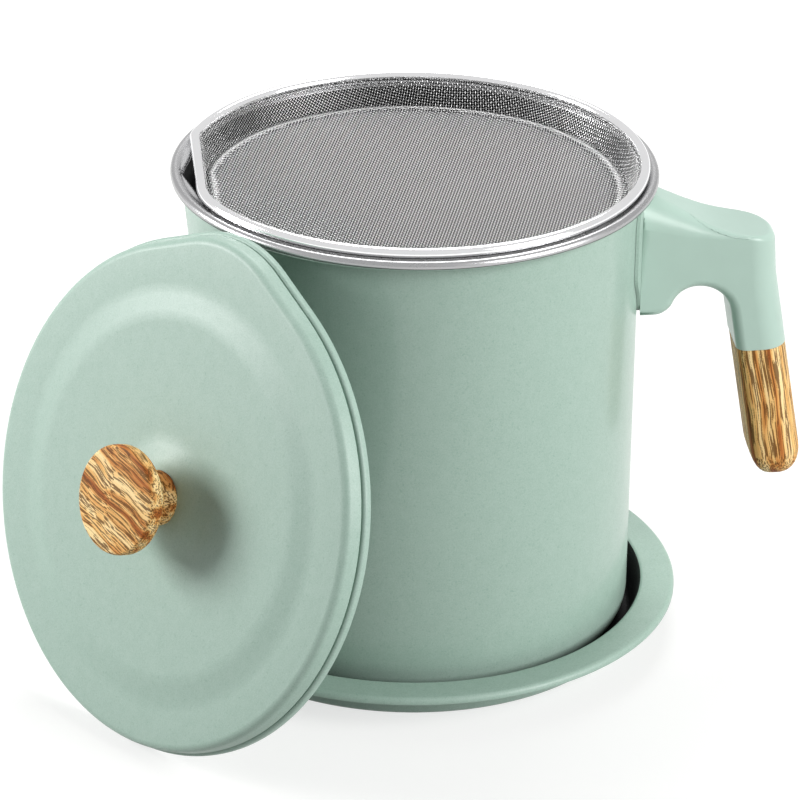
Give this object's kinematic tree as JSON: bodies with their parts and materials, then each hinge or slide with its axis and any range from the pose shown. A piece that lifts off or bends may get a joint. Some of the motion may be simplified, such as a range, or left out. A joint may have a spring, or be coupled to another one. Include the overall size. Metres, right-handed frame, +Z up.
{
  "type": "bacon grease container",
  "caption": "Round grease can with a rolled rim and pour spout, a side handle, a lift-out strainer, a drip tray and a knobbed lid leaning against it.",
  "frame": {"origin": "on the pot's axis, on the plane that the tray stands on", "axes": "+Z up along the pot's axis; the handle points along +X and the pour spout along -X"},
  "size_m": [0.2443, 0.2079, 0.1501],
  "materials": {
    "green_paint": "satin sage green paint with a fine grain",
    "green_moulding": "satin sage green moulding",
    "wood_print": "satin wood-grain print",
    "polished_steel": "polished stainless steel",
    "steel_wire": "woven stainless wire",
    "zinc_steel": "bright zinc plating",
    "brass": "machined"
  },
  "bodies": {
    "tray": {"tray": "green_paint"},
    "pot": {"pot_body": "green_paint", "handle_bracket": "green_paint", "handle_arm": "green_moulding", "arm_screw": "zinc_steel", "arm_insert": "brass", "grip": "wood_print", "grip_insert": "brass", "grip_stud": "zinc_steel"},
    "strainer": {"strainer_rim": "polished_steel", "strainer_mesh": "steel_wire"},
    "lid": {"lid_shell": "green_paint", "lid_knob": "wood_print", "knob_insert": "brass", "knob_screw": "zinc_steel", "knob_washer": "zinc_steel"}
  },
  "joints": [
    {"name": "pot_lift", "type": "slide", "parent": "tray", "child": "pot", "axis": [0, 0, 1], "range_m": [0, 0.06]},
    {"name": "strainer_lift", "type": "slide", "parent": "pot", "child": "strainer", "axis": [0, 0, 1], "range_m": [0, 0.05]},
    {"name": "lid_away", "type": "slide", "parent": "tray", "child": "lid", "axis": [-0.758, -0.5871, 0.2842], "range_m": [0, 0.12]}
  ]
}
